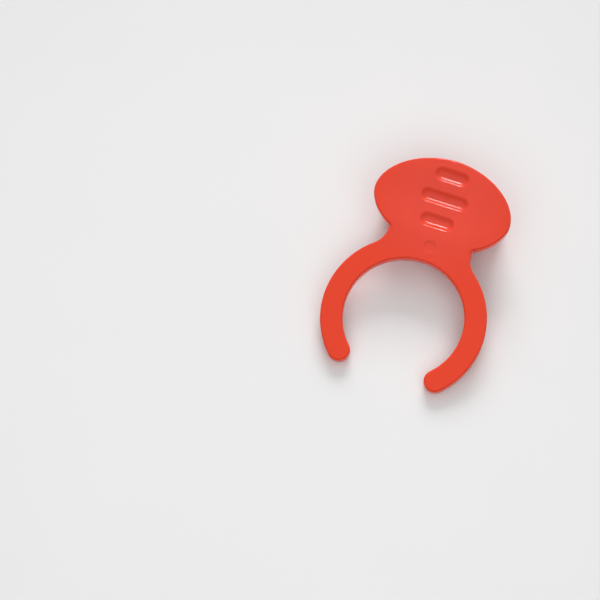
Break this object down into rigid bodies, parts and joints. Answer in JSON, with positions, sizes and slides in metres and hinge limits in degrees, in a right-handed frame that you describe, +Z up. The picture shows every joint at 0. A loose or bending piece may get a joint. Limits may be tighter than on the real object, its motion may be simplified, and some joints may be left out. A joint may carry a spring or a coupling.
{
  "type": "finger-ring training clicker",
  "caption": "Open finger ring moulded in one piece with a grooved oval thumb plate, a slim cover behind it holding a spring-steel click leaf, and a press button in the back.",
  "frame": {"origin": "on the floor under the middle of the clicker's bounding box, with the clicker lying on the ring's two tips and the flat back of its cover", "axes": "+Z up from the floor; +Y from the ring's open mouth towards the far edge of the thumb plate; the mirror plane of the ring and plate is X = 0"},
  "size_m": [0.0274, 0.038, 0.009],
  "materials": {
    "coloured_moulding": "moulded gloss, vermilion red",
    "cover_moulding": "fine-grained satin moulding, vermilion red",
    "button_moulding": "satin moulding",
    "spring_steel": "bright rolled strip",
    "plated_steel": "nickel plated",
    "rivet_brass": "turned",
    "screw_steel": "zinc plated"
  },
  "bodies": {
    "clicker_body": {"ring_plate": "coloured_moulding", "back_cover": "cover_moulding", "click_leaf": "spring_steel", "leaf_clamp": "plated_steel", "leaf_rivet_near": "rivet_brass", "leaf_rivet_far": "rivet_brass", "cover_screw_left": "screw_steel", "cover_screw_right": "screw_steel"},
    "press_button": {"button": "button_moulding"}
  },
  "joints": [
    {"name": "button_press", "type": "slide", "parent": "clicker_body", "child": "press_button", "axis": [0, -0.1908, 0.9816], "range_m": [0, 0.0008], "stiffness_N_per_m": 2500, "deforming": ["click_leaf"]}
  ]
}
